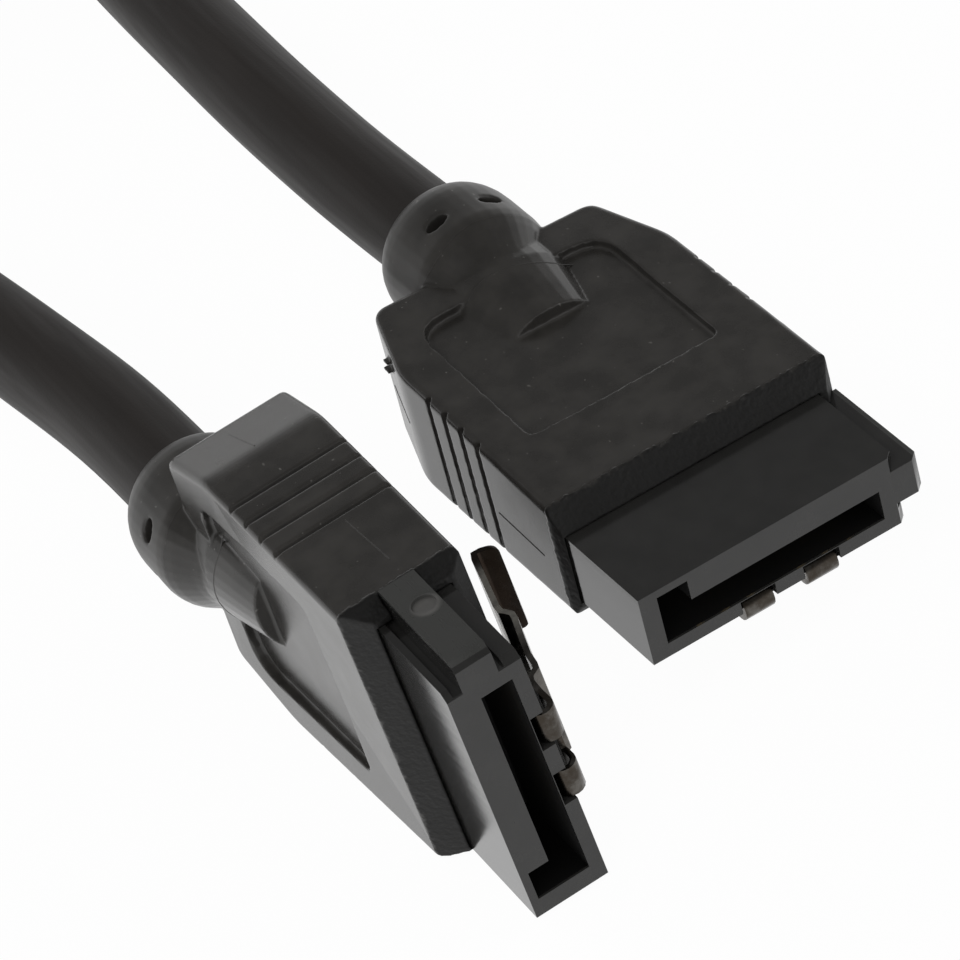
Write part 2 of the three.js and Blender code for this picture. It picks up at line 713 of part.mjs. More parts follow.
// The folded hank as one closed ring of its outer form, two layers of cord high.
function makeHank() {
  const middleX = HANK_NEAR_X - HANK_RUN / 2;
  const ring = shapeOf(stadium(middleX, HANK_MIDDLE_Y, HANK_RUN, HANK_FOLD_RADIUS + cordRadius, 16));
  const hole = stadium(middleX, HANK_MIDDLE_Y, HANK_RUN, HANK_FOLD_RADIUS - cordRadius, 12);
  ring.holes.push(new THREE.Path(hole.reverse().map(([x, y]) => new THREE.Vector2(x, y))));
  return plate(ring, [HANK_LIFT, HANK_LIFT + HANK_LAYERS * CORD_DIAMETER]);
}

// The tie's outline round the hank in the YZ plane, grown outwards.
function tieOutline(growth, corner) {
  const halfY = HANK_FOLD_RADIUS + cordRadius + CORD_GAP + growth;
  const y = [HANK_MIDDLE_Y - halfY, HANK_MIDDLE_Y + halfY];
  const low = HANK_LIFT - CORD_GAP - growth;
  const high = HANK_LIFT + HANK_LAYERS * CORD_DIAMETER + CORD_GAP + growth;
  const corners = [[y[0], low], [y[1], low], [y[1], high], [y[0], high]];
  return roundedShape(corners.map((point) => [...point, corner]));
}

// A flat strap round the middle of the hank.
function makeTie() {
  const middleX = HANK_NEAR_X - HANK_RUN / 2;
  const outer = alongX(tieOutline(TIE_THICKNESS, 1.3), [middleX - TIE_WIDTH / 2, middleX + TIE_WIDTH / 2]);
  return outer.subtract(alongX(tieOutline(0, 0.7), [middleX - TIE_WIDTH, middleX + TIE_WIDTH]));
}

const cable = new THREE.Group();
cable.add(makePlug('a', PLUG_A));
cable.add(makePlug('b', PLUG_B));
cable.add(namedMesh('cord_a', makeCordTube(CORD_A_ROUTE), cordBlack));
cable.add(namedMesh('cord_b', makeCordTube(CORD_B_ROUTE), cordBlack));
cable.add(namedMesh('cord_hank', makeHank(), cordBlack));
cable.add(namedMesh('cord_tie', makeTie(), tieBlack));

export default cable;
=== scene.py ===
# %% [markdown]
# # A serial data cable with two latching plugs
# The imported model is loaded first as a fixed frame. Every piece made here sits where its solid is,
# in metres, and rides on a named body; each latch spring rides on a body of its own.

# %% Load the frame
import math

import bmesh
import bpy
from mathutils import Euler, Matrix, Vector
from mathutils.bvhtree import BVHTree


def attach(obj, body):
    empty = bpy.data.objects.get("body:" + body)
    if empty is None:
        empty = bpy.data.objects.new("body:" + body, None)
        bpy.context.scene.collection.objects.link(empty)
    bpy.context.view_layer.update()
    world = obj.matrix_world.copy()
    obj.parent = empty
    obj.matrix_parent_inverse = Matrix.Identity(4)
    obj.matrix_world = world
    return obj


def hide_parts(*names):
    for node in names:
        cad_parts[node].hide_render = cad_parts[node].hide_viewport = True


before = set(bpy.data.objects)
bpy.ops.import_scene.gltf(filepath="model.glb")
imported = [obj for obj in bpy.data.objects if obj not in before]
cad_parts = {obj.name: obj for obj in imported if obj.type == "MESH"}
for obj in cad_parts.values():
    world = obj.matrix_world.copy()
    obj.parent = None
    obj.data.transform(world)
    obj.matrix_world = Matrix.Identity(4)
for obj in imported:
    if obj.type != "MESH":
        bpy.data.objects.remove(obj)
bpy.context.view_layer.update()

# %% [markdown]
# ## Where the plugs lie
# Each plug was designed in its own frame: X is the way it is pushed in, Y its width with the key
# on the plus side, and Z its thickness with the latch on the minus side. Two matrices take that
# frame into the scene, so one function can make a piece for either plug.

# %% Plug frames
MM = 0.001
PLUG_PLACES = {
    "a": ((11.133, 6.152, 5.65), (-5.3, 0.6, 2.4)),
    "b": ((15.833, -8.448, 6.65), (90, 0, 0)),
}


def add_piece(name, data):
    """A new object in the scene, of a mesh, a curve, a lamp or a camera."""
    piece = bpy.data.objects.new(name, data)
    bpy.context.scene.collection.objects.link(piece)
    return piece


def plug_matrix(letter):
    at, turn = PLUG_PLACES[letter]
    spin = Euler([math.radians(angle) for angle in turn]).to_matrix().to_4x4()
    return Matrix.Translation(Vector(at) * MM) @ spin


print("plug a points along", [round(c, 3) for c in plug_matrix("a").col[0][:3]])

# %% [markdown]
# ## The camera
# The photograph was taken from above the open ends of the plugs, with a long lens and the camera
# rolled to the left. Its place and its roll came from matching the corners of both plugs.

# %% Camera
CAMERA_AT = Vector((206.723, -57.948, 183.04)) * MM
CAMERA_LOOKS = Vector((-0.7474, 0.2053, -0.6319)).normalized()
CAMERA_UP = Vector((-0.4657, 0.5165, 0.7186))
CAMERA_LENS = 247.3
CAMERA_SENSOR = 36

camera_data = bpy.data.cameras.new("camera")
camera_data.lens = CAMERA_LENS
camera_data.sensor_width = CAMERA_SENSOR
camera_data.clip_start = 0.01
camera_data.clip_end = 20
camera = add_piece("camera", camera_data)
right = CAMERA_LOOKS.cross(CAMERA_UP).normalized()
up = right.cross(CAMERA_LOOKS)
turned_to = Matrix((right, up, -CAMERA_LOOKS)).transposed().to_4x4()
camera.matrix_world = Matrix.Translation(CAMERA_AT) @ turned_to
bpy.context.scene.camera = camera
bpy.context.scene.view_settings.view_transform = "Standard"
print("camera is", round(CAMERA_AT.length, 3), "m from the plugs")

# %% [markdown]
# ## The cord
# A round jacketed cord is one tube along one line, so a curve with a round bevel is the simplest
# true description of it. The line leaves plug A, lies in the folded hank behind the picture's
# edge and comes back to plug B. The two leads are listed point by point, the hank is worked out.

# %% The cord's route
CORD_THICK = 4.6
CORD_RADIUS = CORD_THICK / 2 * MM
LEAD_A = [
    (-10.47, 5.71, 7.66), (-15.75, 5.48, 7.75), (-23.47, 5.12, 7.53), (-31.47, 5.0, 7.36),
    (-39.47, 5.2, 6.98), (-45.47, 5.5, 6.34), (-51.47, 6.05, 5.34), (-57.47, 7.0, 4.34),
    (-61.47, 8.05, 3.59), (-64.97, 9.25, 3.19),
]
LEAD_B = [
    (-5.77, -10.36, 6.94), (-11.07, -10.34, 6.94), (-18.47, -10.53, 6.74), (-26.47, -11.3, 6.39),
    (-34.47, -12.2, 5.99), (-42.47, -13.05, 5.79), (-49.47, -13.8, 5.89), (-55.47, -14.5, 6.19),
    (-60.47, -15.15, 6.69), (-64.97, -15.75, 7.19),
]
HANK_MIDDLE_Y = -3.1
HANK_NEAR_X = -78.5
HANK_RUN = 46
HANK_FAR_X = HANK_NEAR_X - HANK_RUN
HANK_FOLD_RADIUS = 13.9
STRAP_ROOM = 0.72
HANK_LOW_Z = STRAP_ROOM + CORD_THICK / 2
HANK_HIGH_Z = HANK_LOW_Z + CORD_THICK
FOLD_STEPS = 12
RUN_SPACING = 12
ROUTE_SPACING = 1.2


def hank_route():
    """Far fold low, near fold climbing a layer, far fold high, with straight runs between."""
    points = []
    for fold in range(3):
        near = fold == 1
        centre_x = HANK_NEAR_X if near else HANK_FAR_X
        side = 1 if near else -1
        for step in range(FOLD_STEPS + 1):
            angle = math.pi * step / FOLD_STEPS
            climb = (0.5 - 0.5 * math.cos(angle)) if near else fold / 2
            x = centre_x + side * HANK_FOLD_RADIUS * math.sin(angle)
            y = HANK_MIDDLE_Y - side * HANK_FOLD_RADIUS * math.cos(angle)
            z = HANK_LOW_Z + climb * (HANK_HIGH_Z - HANK_LOW_Z)
            points.append((x, y, z))
    return points


def with_runs(points):
    """Adds points along every long straight stretch, which keeps a smooth curve straight there."""
    filled = [points[0]]
    for point in points[1:]:
        last = Vector(filled[-1])
        span = (Vector(point) - last).length
        parts = int(span // RUN_SPACING)
        for i in range(1, parts):
            filled.append(tuple(last.lerp(Vector(point), i / parts)))
        filled.append(point)
    return filled


def smooth_line(points, spacing):
    """A Catmull-Rom curve through the points, sampled about every `spacing` millimetres."""
    knots = [Vector(p) for p in points]
    knots = [2 * knots[0] - knots[1], *knots, 2 * knots[-1] - knots[-2]]
    line = []
    for i in range(1, len(knots) - 2):
        p0, p1, p2, p3 = knots[i - 1:i + 3]
        steps = max(2, round((p2 - p1).length / spacing))
        for step in range(steps):
            t = step / steps
            line.append(0.5 * (2 * p1 + (p2 - p0) * t + (2 * p0 - 5 * p1 + 4 * p2 - p3) * t ** 2
                               + (3 * p1 - p0 - 3 * p2 + p3) * t ** 3))
    line.append(knots[-2])
    return [p * MM for p in line]


near_a = (HANK_NEAR_X, HANK_MIDDLE_Y + HANK_FOLD_RADIUS, HANK_LOW_Z)
near_b = (HANK_NEAR_X, HANK_MIDDLE_Y - HANK_FOLD_RADIUS, HANK_HIGH_Z)
route = LEAD_A + [near_a] + hank_route() + [near_b] + LEAD_B[::-1]
cord_line = smooth_line(with_runs(route), ROUTE_SPACING)
cord_length = sum((b - a).length for a, b in zip(cord_line, cord_line[1:]))
print("cord:", len(cord_line), "points,", round(cord_length, 4), "m")

# %% [markdown]
# The line becomes a poly spline, and the bevel gives it the jacket's thickness. It replaces
# the two plain tubes and the plain ring that stand for the cord in the frame.

# %% The cord as a curve
cord_data = bpy.data.curves.new("cord", "CURVE")
cord_data.dimensions = "3D"
spline = cord_data.splines.new("POLY")
spline.points.add(len(cord_line) - 1)
for spline_point, place in zip(spline.points, cord_line):
    spline_point.co = (*place, 1)
cord_data.bevel_depth = CORD_RADIUS
cord_data.bevel_resolution = 10
cord_data.use_fill_caps = True
spline.use_smooth = True
cord = add_piece("cord", cord_data)
print("cord curve of radius", CORD_RADIUS, "m")

# %% [markdown]
# ## Shader maths as expressions
# A finish is easier to read as arithmetic than as a web of nodes. `Value` wraps a socket and
# adds a Math node for each operator, in both orders, so that `1 - mask` works too.

# %% Numbers in a shader


class Value:
    """A number socket that adds Math nodes when it is used in an expression."""

    def __init__(self, finish, socket):
        self.finish = finish
        self.socket = socket

    def math(self, operation, *others):
        return self.finish.node("Math", {"operation": operation}, self, *others)

    def __add__(self, other):
        return self.math("ADD", other)

    def __radd__(self, other):
        return self.math("ADD", other)

    def __mul__(self, other):
        return self.math("MULTIPLY", other)

    def __rmul__(self, other):
        return self.math("MULTIPLY", other)

    def __sub__(self, other):
        return self.math("SUBTRACT", other)

    def __rsub__(self, other):
        return self.finish.node("Math", {"operation": "SUBTRACT"}, other, self)

    def __gt__(self, other):
        return self.math("GREATER_THAN", other)

    def __lt__(self, other):
        return self.math("LESS_THAN", other)

    def ramp(self, low, high):
        """0 below low, 1 above high and a smooth rise between."""
        settings = {"interpolation_type": "SMOOTHSTEP"}
        return self.finish.node("MapRange", settings, self, low, high)


print("Value is ready")

# %% [markdown]
# `Finish` is one material with one Principled shader. Constants go straight to the shader's own
# sockets. `node` adds any other node, its settings first and its inputs after, and the short
# methods below it name the few kinds that the finishes of this cable need.

# %% A material built by expressions


class Finish:
    """A material with one Principled shader, built by expressions."""

    def __init__(self, name, **constants):
        self.material = bpy.data.materials.new(name)
        self.material.use_nodes = True
        self.tree = self.material.node_tree
        self.shader = self.tree.nodes["Principled BSDF"]
        for socket, value in constants.items():
            self.shader.inputs[socket.replace("_", " ")].default_value = value

    def connect(self, socket, value):
        if isinstance(value, Value):
            self.tree.links.new(value.socket, socket)
        elif value is not None:
            socket.default_value = value

    def node(self, kind, settings=None, *inputs, output=0, **named):
        made = self.tree.nodes.new("ShaderNode" + kind)
        for name, value in (settings or {}).items():
            setattr(made, name, value)
        for socket, value in zip(made.inputs, inputs):
            self.connect(socket, value)
        for name, value in named.items():
            self.connect(made.inputs[name.replace("_", " ")], value)
        return Value(self, made.outputs[output])

    def mix_colour(self, share, low, high):
        """A Mix node of colours, which are its inputs 6 and 7 and its output 2."""
        settings = {"data_type": "RGBA"}
        made = self.node("Mix", settings, output=2)
        sockets = made.socket.node.inputs
        self.connect(sockets[0], share)
        self.connect(sockets[6], low)
        self.connect(sockets[7], high)
        return made

    def place(self):
        """The object's own coordinates, in metres."""
        return self.node("TexCoord", output=3)

    def plug_place(self, letter):
        """The object's coordinates in one plug's own frame, in metres."""
        at, turn = PLUG_PLACES[letter]
        mapped = self.node("Mapping", {"vector_type": "TEXTURE"}, self.place())
        mapped.socket.node.inputs["Location"].default_value = Vector(at) * MM
        mapped.socket.node.inputs["Rotation"].default_value = [math.radians(a) for a in turn]
        return mapped

    def parts_of(self, vector):
        split = self.node("SeparateXYZ", {}, vector)
        return [Value(self, socket) for socket in split.socket.node.outputs]

    def noise(self, vector, size_mm, detail=2.0, roughness=0.5):
        named = {"Vector": vector, "Scale": 1 / (size_mm * MM)}
        named.update({"Detail": detail, "Roughness": roughness})
        return self.node("TexNoise", {"noise_dimensions": "3D"}, **named)

    def stretched(self, vector, scale):
        mapped = self.node("Mapping", {"vector_type": "POINT"}, vector)
        mapped.socket.node.inputs["Scale"].default_value = scale
        return mapped

    def bump(self, height, depth_mm, strength=1.0):
        named = {"Strength": strength, "Distance": depth_mm * MM, "Height": height}
        self.set("Normal", self.node("Bump", {}, **named))

    def set(self, socket, value):
        self.connect(self.shader.inputs[socket], value)


print("Finish is ready")

# %% [markdown]
# ## Overmould finish
# Soft black vinyl, moulded against a spark-eroded tool: a very fine grain, a satin sheen that is
# slightly uneven and a few specks of dust. The rounded front was torn from its tool and is nearly
# black and rough, with a ragged border. The grip grooves get painted shade, a share of that black.

# %% Overmould finish
OVERMOULD_BLACK = (0.020, 0.0188, 0.0172, 1)
OVERMOULD_GREY = (0.032, 0.030, 0.0275, 1)
# the front's own near-black, also used as painted shade in the grip grooves
FRONT_AND_SHADE_BLACK = (0.005, 0.0048, 0.0045, 1)
DUST = (0.16, 0.155, 0.145, 1)
FRONT_X = -6.5
NECK_X = (-23.4, -22.4)
GRIP_FIRST_X = -11.9
GRIP_PITCH = 1.33
GRIP_COUNT = 4
GRIP_SHADE = 0.1
GRIP_Z = (-2.0, 2.7)
GRIP_FROM_Y = 5.8


def groove_shade_mask(x, y, z):
    """1 along the floors of the grip grooves on both narrow sides, where painted shade goes."""
    last = (GRIP_FIRST_X - (GRIP_COUNT - 0.5) * GRIP_PITCH) * MM
    first = (GRIP_FIRST_X + 0.5 * GRIP_PITCH) * MM
    turns = (x - GRIP_FIRST_X * MM) * (1 / (GRIP_PITCH * MM)) + 0.5
    off_groove = (turns.math("FRACT") - 0.5).math("ABSOLUTE") * GRIP_PITCH
    along = (off_groove < GRIP_SHADE) * (x > last) * (x < first)
    return along * (y.math("ABSOLUTE") > GRIP_FROM_Y * MM) * (z > GRIP_Z[0] * MM) * (z < GRIP_Z[1] * MM)


def overmould_finish(letter):
    finish = Finish("overmould_vinyl_" + letter, Specular_IOR_Level=0.5)
    place = finish.plug_place(letter)
    x, y, z = finish.parts_of(place)
    cloudy = finish.noise(place, 1.6, 3.0)
    grain = finish.noise(place, 0.1, 2.0, 0.65)
    peel = finish.noise(place, 0.24, 1.5)
    ragged = finish.noise(place, 0.3, 3.0)
    front = (x + (ragged - 0.5) * (0.4 * MM)).ramp((FRONT_X - 0.05) * MM, (FRONT_X + 0.12) * MM)
    groove_shade = groove_shade_mask(x, y, z)
    neck = 1 - x.ramp(NECK_X[0] * MM, NECK_X[1] * MM)
    specks = finish.noise(place, 0.2, 0.0).ramp(0.83, 0.86)
    colour = finish.mix_colour(cloudy.ramp(0.3, 0.75), OVERMOULD_BLACK, OVERMOULD_GREY)
    colour = finish.mix_colour(specks * 0.4, colour, DUST)
    # painted shade: the groove floors are mixed part way to the front's near-black
    colour = finish.mix_colour(groove_shade * 0.4, colour, FRONT_AND_SHADE_BLACK)
    finish.set("Base Color", finish.mix_colour(front, colour, FRONT_AND_SHADE_BLACK))
    finish.set("Roughness", 0.2 + cloudy * 0.1 + neck * 0.15 + front * 0.42 + groove_shade * 0.3)
    finish.bump(grain * 0.35 + front * peel * 7.0, 0.02, 0.45)
    return finish.material


print("grooves shaded on each side:", GRIP_COUNT)

# %% [markdown]
# ## Housing finish
# Glass-filled nylon from a polished tool: nearly black and glossy, with faint flow streaks along
# the way it is pushed in. The slot's inside is painted near-black as shade and is rough, the key's
# top face is painted lighter as a highlight, and the ejector's dimple on the key is rubbed a little grey.

# %% Housing finish
NYLON_DARK = (0.012, 0.0118, 0.0112, 1)
NYLON_LIGHT = (0.022, 0.0215, 0.0205, 1)
# painted highlight: the lighter colour of the key's top face
NYLON_KEY_LIT = (0.036, 0.0365, 0.0345, 1)
NYLON_RUBBED = (0.13, 0.125, 0.12, 1)
SLOT_SHADE = (0.0015, 0.0015, 0.0015, 1)
SLOT_Y = (-5.57, 5.37)
SLOT_Z = (-1.12, 0.4)
SLOT_LEG_END_Y = -4.03
SLOT_LEG_TOP = 1.4
SLOT_MOUTH_X = -0.12
DIMPLE_AT = (-4.03, -0.04)
DIMPLE_FADE = (0.5, 0.75)
KEY_TOP_Y = 7.35
RUBBED_FROM_Y = 7.3


def slot_shade_mask(x, y, z):
    """1 inside the L-shaped slot, just behind its mouth, where painted shade goes."""
    bar = (z > SLOT_Z[0] * MM) * (z < SLOT_Z[1] * MM)
    leg = (y < SLOT_LEG_END_Y * MM) * (z > 0.0) * (z < SLOT_LEG_TOP * MM)
    across = (y > SLOT_Y[0] * MM) * (y < SLOT_Y[1] * MM)
    return bar.math("MAXIMUM", leg) * across * (x < SLOT_MOUTH_X * MM)


def housing_finish(letter):
    finish = Finish("housing_nylon_" + letter, Specular_IOR_Level=0.5)
    place = finish.plug_place(letter)
    x, y, z = finish.parts_of(place)
    streaks = finish.noise(finish.stretched(place, (0.12, 1, 1)), 0.35, 3.0)
    cloudy = finish.noise(place, 1.3, 2.0)
    grain = finish.noise(place, 0.09, 1.0)
    inside = slot_shade_mask(x, y, z)
    off_x = x - DIMPLE_AT[0] * MM
    off_z = z - DIMPLE_AT[1] * MM
    far = (off_x * off_x + off_z * off_z).math("SQRT").ramp(DIMPLE_FADE[0] * MM, DIMPLE_FADE[1] * MM)
    rubbed = (1 - far) * (y > RUBBED_FROM_Y * MM) * cloudy
    # painted highlight: the key's top face is lighter, in mottled patches
    lit_key_top = (y > KEY_TOP_Y * MM) * (0.7 + cloudy * 0.6)
    colour = finish.mix_colour(cloudy, NYLON_DARK, NYLON_LIGHT)
    colour = finish.mix_colour(lit_key_top, colour, NYLON_KEY_LIT)
    colour = finish.mix_colour(rubbed, colour, NYLON_RUBBED)
    # painted shade: the slot's inside is made near-black
    finish.set("Base Color", finish.mix_colour(inside, colour, SLOT_SHADE))
    finish.set("Roughness", 0.08 + streaks * 0.1 + inside * 0.6 + rubbed * 0.3 + lit_key_top * 0.15)
    finish.bump(streaks + grain * 0.3, 0.005, 0.45)
    return finish.material


print("slot shaded from", SLOT_Y[0], "to", SLOT_Y[1], "mm")

# %% [markdown]
# ## Spring steel finish
# The latch is rolled spring steel, blackened by its heat treatment. It is a metal, so nearly all
# of its look is reflection. The oxide is dark brown on the end flange and over the folds, and the
# hump gets a painted highlight, a lighter colour in mottled patches.

# %% Spring steel finish
STEEL_LIGHT = (0.115, 0.108, 0.098, 1)
STEEL_DARK = (0.055, 0.05, 0.045, 1)
# painted highlight: the lighter colour on the hump
STEEL_HIGHLIGHT = (0.36, 0.345, 0.31, 1)
STEEL_FOLD = (0.05, 0.042, 0.034, 1)
STEEL_BROWN = (0.022, 0.015, 0.011, 1)
FLANGE_FADE = (-10.3, -9.6)
HUMP_REAR_FADE = (-9.9, -8.9)
HUMP_FRONT_FADE = (-5.9, -3.9)
FOLD_FADE = (-2.0, -1.2)


def latch_finish(letter):
    finish = Finish("spring_steel_" + letter, Metallic=1.0)
    place = finish.plug_place(letter)
    along = finish.parts_of(place)[0]
    lines = finish.noise(finish.stretched(place, (0.06, 1, 1)), 0.12, 3.0)
    stain = finish.noise(place, 0.9, 4.0, 0.6)
    x = along + (stain - 0.5) * (1.2 * MM)
    # painted highlight: the hump is made lighter in mottled patches
    highlight = x.ramp(*(edge * MM for edge in HUMP_REAR_FADE))
    highlight = highlight * (1 - x.ramp(*(edge * MM for edge in HUMP_FRONT_FADE)))
    brown = 1 - x.ramp(*(edge * MM for edge in FLANGE_FADE))
    top = x.ramp(*(edge * MM for edge in FOLD_FADE))
    colour = finish.mix_colour(stain.ramp(0.35, 0.65), STEEL_LIGHT, STEEL_DARK)
    colour = finish.mix_colour(highlight * stain.ramp(0.3, 0.55), colour, STEEL_HIGHLIGHT)
    colour = finish.mix_colour(top * stain.ramp(0.3, 0.6), colour, STEEL_FOLD)
    finish.set("Base Color", finish.mix_colour(brown * 0.9, colour, STEEL_BROWN))
    finish.set("Roughness", 0.14 + lines * 0.14 + stain * 0.08)
    finish.bump(lines + stain * 0.5, 0.005, 0.5)
    return finish.material


print("hump worn from", HUMP_REAR_FADE[0], "to", HUMP_FRONT_FADE[1], "mm")

# %% [markdown]
# ## Cord finish
# Extruded vinyl comes out of its die with long soft draw lines. Seen close it is a warm black
# with a satin sheen that runs along the cord and breaks up a little.

# %% Cord finish
CORD_BLACK = (0.0075, 0.0058, 0.0049, 1)
CORD_BROWN = (0.015, 0.0118, 0.0100, 1)


def cord_finish():
    finish = Finish("cord_vinyl", Specular_IOR_Level=0.5)
    place = finish.place()
    draw_lines = finish.noise(finish.stretched(place, (0.05, 1, 1)), 0.5, 3.0)
    cloudy = finish.noise(finish.stretched(place, (0.3, 1, 1)), 1.8, 2.0)
    grain = finish.noise(place, 0.12, 2.0)
    finish.set("Base Color", finish.mix_colour(cloudy, CORD_BLACK, CORD_BROWN))
    finish.set("Roughness", 0.46 + draw_lines * 0.24)
    finish.bump(draw_lines + grain * 0.25, 0.03, 0.7)
    return finish.material


cord.data.materials.append(cord_finish())
print("cord wears", cord.data.materials[0].name)

# %% [markdown]
# ## Finishes for what hardly shows
# Gold-plated contacts glint inside the slot. The wires and the inner mould are closed in, but
# each still gets a finish of its own: two near tones, mottled, and a fine grain.

# %% Contact, wire and mould finishes


def speckled(name, low, high, size_mm, roughness, metallic=0.0):
    finish = Finish(name, Metallic=metallic)
    place = finish.place()
    mottle = finish.noise(place, size_mm, 3.0)
    finish.set("Base Color", finish.mix_colour(mottle, low, high))
    finish.set("Roughness", roughness + mottle * 0.15)
    finish.bump(mottle, 0.01, 0.4)
    return finish.material


gold = speckled("contact_gold", (0.72, 0.48, 0.18, 1), (0.90, 0.68, 0.32, 1), 0.3, 0.16, 1.0)
tinned = speckled("tinned_copper", (0.42, 0.40, 0.36, 1), (0.62, 0.60, 0.56, 1), 0.2, 0.25, 1.0)
wire_blue = speckled("wire_insulation", (0.05, 0.10, 0.22, 1), (0.07, 0.14, 0.30, 1), 0.4, 0.4)
inner_plastic = speckled("inner_mould_plastic", (0.55, 0.52, 0.45, 1), (0.66, 0.63, 0.56, 1), 0.5, 0.5)
print("materials:", len(bpy.data.materials))

# %% [markdown]
# The tie is a woven strap. Two crossed sine waves of half a millimetre make the weave, and the
# sum of Y and Z carries the pattern round the strap's corners.

# %% Strap finish
WEAVE_PITCH = 0.5


def strap_finish():
    finish = Finish("woven_strap", Sheen_Weight=0.3)
    place = finish.place()
    x, y, z = finish.parts_of(place)
    per_metre = 2 * math.pi / (WEAVE_PITCH * MM)
    weave = (x * per_metre).math("SINE") * ((y + z) * per_metre).math("SINE")
    fluff = finish.noise(place, 0.3, 3.0)
    finish.set("Base Color", finish.mix_colour(fluff, (0.012, 0.012, 0.012, 1), (0.03, 0.03, 0.03, 1)))
    finish.set("Roughness", 0.8 + fluff * 0.15)
    finish.bump(weave + fluff, 0.05, 0.6)
    return finish.material


print("weave of", WEAVE_PITCH, "mm")

# %% [markdown]
# ## Moulded pieces
# The frame's solids have the true sizes but knife edges. A real moulding has none: the tool's own
# corners are slightly round. A copy of the solid is merged, remeshed into an even skin finer
# than a tenth of a millimetre and relaxed a little, which rounds every edge alike. The wall round
# the housing is as thin as the skin's own mesh, so the hollow is filled first and cut out again
# after, which leaves a crisp line where vinyl meets nylon.

# %% Copies of a solid
MERGE_WITHIN = 0.002


def plain_copy(node, name):
    copy = add_piece(name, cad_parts[node].data.copy())
    copy.data.materials.clear()
    work = bmesh.new()
    work.from_mesh(copy.data)
    bmesh.ops.remove_doubles(work, verts=work.verts, dist=MERGE_WITHIN * MM)
    work.to_mesh(copy.data)
    work.free()
    return copy


def bake_modifiers(piece):
    """Turns a piece and its modifiers into one plain mesh."""
    graph = bpy.context.evaluated_depsgraph_get()
    mesh = bpy.data.meshes.new_from_object(piece.evaluated_get(graph))
    piece.modifiers.clear()
    piece.data = mesh
    return piece


print("frame solids to copy:", len(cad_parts))

# %% [markdown]
# The hollow of an overmould is three blocks and a rod: the seat of the housing and of its key,
# the chamber for the inner mould, and the bore for the cord. The same two helpers fill it before
# the remesh and cut it out again afterwards. A filler is a little thicker than its part of the
# hollow and stops just inside the mouth. A cutter has the true size and runs out past the mouth.

# %% Blocks and rods in a plug's frame
ROD_SIDES = 48


def add_block(work, place, *spans):
    """A block between three pairs of numbers, in millimetres of a plug's frame."""
    middle = Vector([(low + high) / 2 for low, high in spans]) * MM
    size = [(high - low) * MM for low, high in spans]
    shape = Matrix.Translation(middle) @ Matrix.Diagonal((*size, 1))
    bmesh.ops.create_cube(work, size=1, matrix=place @ shape)


def add_rod(work, place, radius, span, y, z):
    """A rod along a plug's X."""
    middle = Vector(((span[0] + span[1]) / 2, y, z)) * MM
    shape = Matrix.Translation(middle) @ Matrix.Rotation(math.pi / 2, 4, "Y")
    radii = {"radius1": radius * MM, "radius2": radius * MM, "depth": (span[1] - span[0]) * MM}
    bmesh.ops.create_cone(work, cap_ends=True, segments=ROD_SIDES, matrix=place @ shape, **radii)


print("rods have", ROD_SIDES, "sides")

# %% [markdown]
# Small bits of flash, torn at the parting line of the tool, stand on the rear corner of one plug.
# They are added before the remesh so that they grow out of the skin. The neck is a ring of flat
# facets in the frame, so it is relaxed further than the crisp body.

# %% The overmould's skin
FILLERS = {
    "seat": (add_block, ((-12.5, -5.65), (-6.5, 6.5), (-1.95, 1.95))),
    "key_seat": (add_block, ((-6.6, -5.65), (5.4, 6.9), (-0.9, 1.2))),
    "chamber": (add_block, ((-21.6, -12), (-5.1, 5.5), (-1.5, 2.05))),
    "bore": (add_rod, (2.46, (-26.85, -21.5), 0.29, 1.91)),
}
SKIN_VOXEL = 0.075
SKIN_KEEP = 0.42
BODY_RELAX = 1
NECK_RELAX = 14
NECK_SMOOTH_X = (-22.2, -23.2)
FLASH_NUBS = {"a": [(-20.0, -6.2, 3.0), (-20.1, -6.2, 2.5)], "b": []}
NUB_HALF = (0.2, 0.2, 0.09)


def mark_neck(piece, to_plug):
    """Weights the vertices of the neck from 0 to 1 over NECK_SMOOTH_X."""
    start, end = NECK_SMOOTH_X
    neck = piece.vertex_groups.new(name="neck")
    for vertex in piece.data.vertices:
        x = (to_plug @ vertex.co).x / MM
        share = min(max((start - x) / (start - end), 0), 1)
        if share > 0:
            neck.add([vertex.index], share, "REPLACE")


def overmould_skin(letter):
    place = plug_matrix(letter)
    piece = plain_copy(f"overmould_{letter}", f"overmould_skin_{letter}")
    work = bmesh.new()
    work.from_mesh(piece.data)
    for add, sizes in FILLERS.values():
        add(work, place, *sizes)
    for nub in FLASH_NUBS[letter]:
        spans = [(c - half, c + half) for c, half in zip(nub, NUB_HALF)]
        add_block(work, place, *spans)
    work.to_mesh(piece.data)
    work.free()
    remesh = piece.modifiers.new("skin", "REMESH")
    remesh.mode = "VOXEL"
    remesh.voxel_size = SKIN_VOXEL * MM
    remesh.use_smooth_shade = True
    bake_modifiers(piece)
    mark_neck(piece, place.inverted())
    for name, group, steps in (("relax", "", BODY_RELAX), ("round neck", "neck", NECK_RELAX)):
        smooth = piece.modifiers.new(name, "SMOOTH")
        smooth.factor = 0.5
        smooth.iterations = steps
        smooth.vertex_group = group
    thin = piece.modifiers.new("thin", "DECIMATE")
    thin.ratio = SKIN_KEEP
    return bake_modifiers(piece)


print("skin voxels of", SKIN_VOXEL, "mm")

# %% [markdown]
# Each part of the hollow is a closed cutter and one Boolean. An exact Boolean keeps the edge where
# the nylon meets the vinyl sharp, however coarse the skin round it is.

# %% The overmould's hollow
HOLLOW = {
    "seat": (add_block, ((-12.06, -3.6), (-6.46, 6.46), (-1.81, 1.81))),
    "key_seat": (add_block, ((-6.36, -3.6), (5.4, 7.61), (-0.76, 1.06))),
    "chamber": (add_block, ((-21.55, -11.9), (-5.02, 5.42), (-1.42, 1.97))),
    "bore": (add_rod, (2.4, (-28.9, -21.4), 0.29, 1.91)),
}


